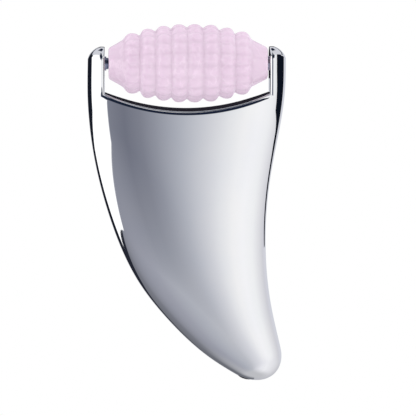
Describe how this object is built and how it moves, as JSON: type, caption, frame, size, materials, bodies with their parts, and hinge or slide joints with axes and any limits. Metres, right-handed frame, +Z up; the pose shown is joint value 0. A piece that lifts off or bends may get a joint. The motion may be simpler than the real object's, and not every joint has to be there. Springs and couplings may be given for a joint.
{
  "type": "face roller",
  "caption": "Ribbed stone massage roller turning on an axle between the two arms of a mirror-plated, horn-shaped palm handle.",
  "frame": {"origin": "under the middle of the bounding box, at the height of the horn's tip", "axes": "+X to the right along the roller's axle, +Y to the back of the handle, +Z up from the horn's tip to the roller"},
  "size_m": [0.0596, 0.0234, 0.1077],
  "materials": {
    "plated_shell": "mirror polished",
    "plated_yoke": "mirror polished",
    "plated_plug": "polished",
    "pink_stone": "polished, slightly translucent",
    "acetal": "satin",
    "steel": "turned",
    "spring_steel": "satin",
    "bush_metal": "sintered, satin",
    "insert_brass": "turned",
    "ballast_steel": "as cut",
    "foam": "matt",
    "seal_rubber": "matt"
  },
  "bodies": {
    "handle": {"front_shell": "plated_shell", "rear_cover": "plated_shell", "yoke_frame": "plated_yoke", "screw_plugs": "plated_plug", "axle": "steel", "axle_clip_left": "spring_steel", "axle_clip_right": "spring_steel", "arm_bush_left": "bush_metal", "arm_bush_right": "bush_metal", "thrust_washer_left": "steel", "thrust_washer_right": "steel", "wave_washer": "spring_steel", "locating_pins": "steel", "cover_screws": "steel", "yoke_screws": "steel", "ballast_screws": "steel", "threaded_inserts": "insert_brass", "ballast_weight": "ballast_steel", "ballast_pad": "foam", "seam_gasket": "seal_rubber"},
    "roller": {"stone_roller": "pink_stone", "roller_bush_left": "acetal", "roller_bush_right": "acetal"}
  },
  "joints": [
    {"name": "roller_spin", "type": "hinge", "parent": "handle", "child": "roller", "pos_m": [0.00035, 0, 0.096], "axis": [1, 0, 0], "continuous": true}
  ]
}
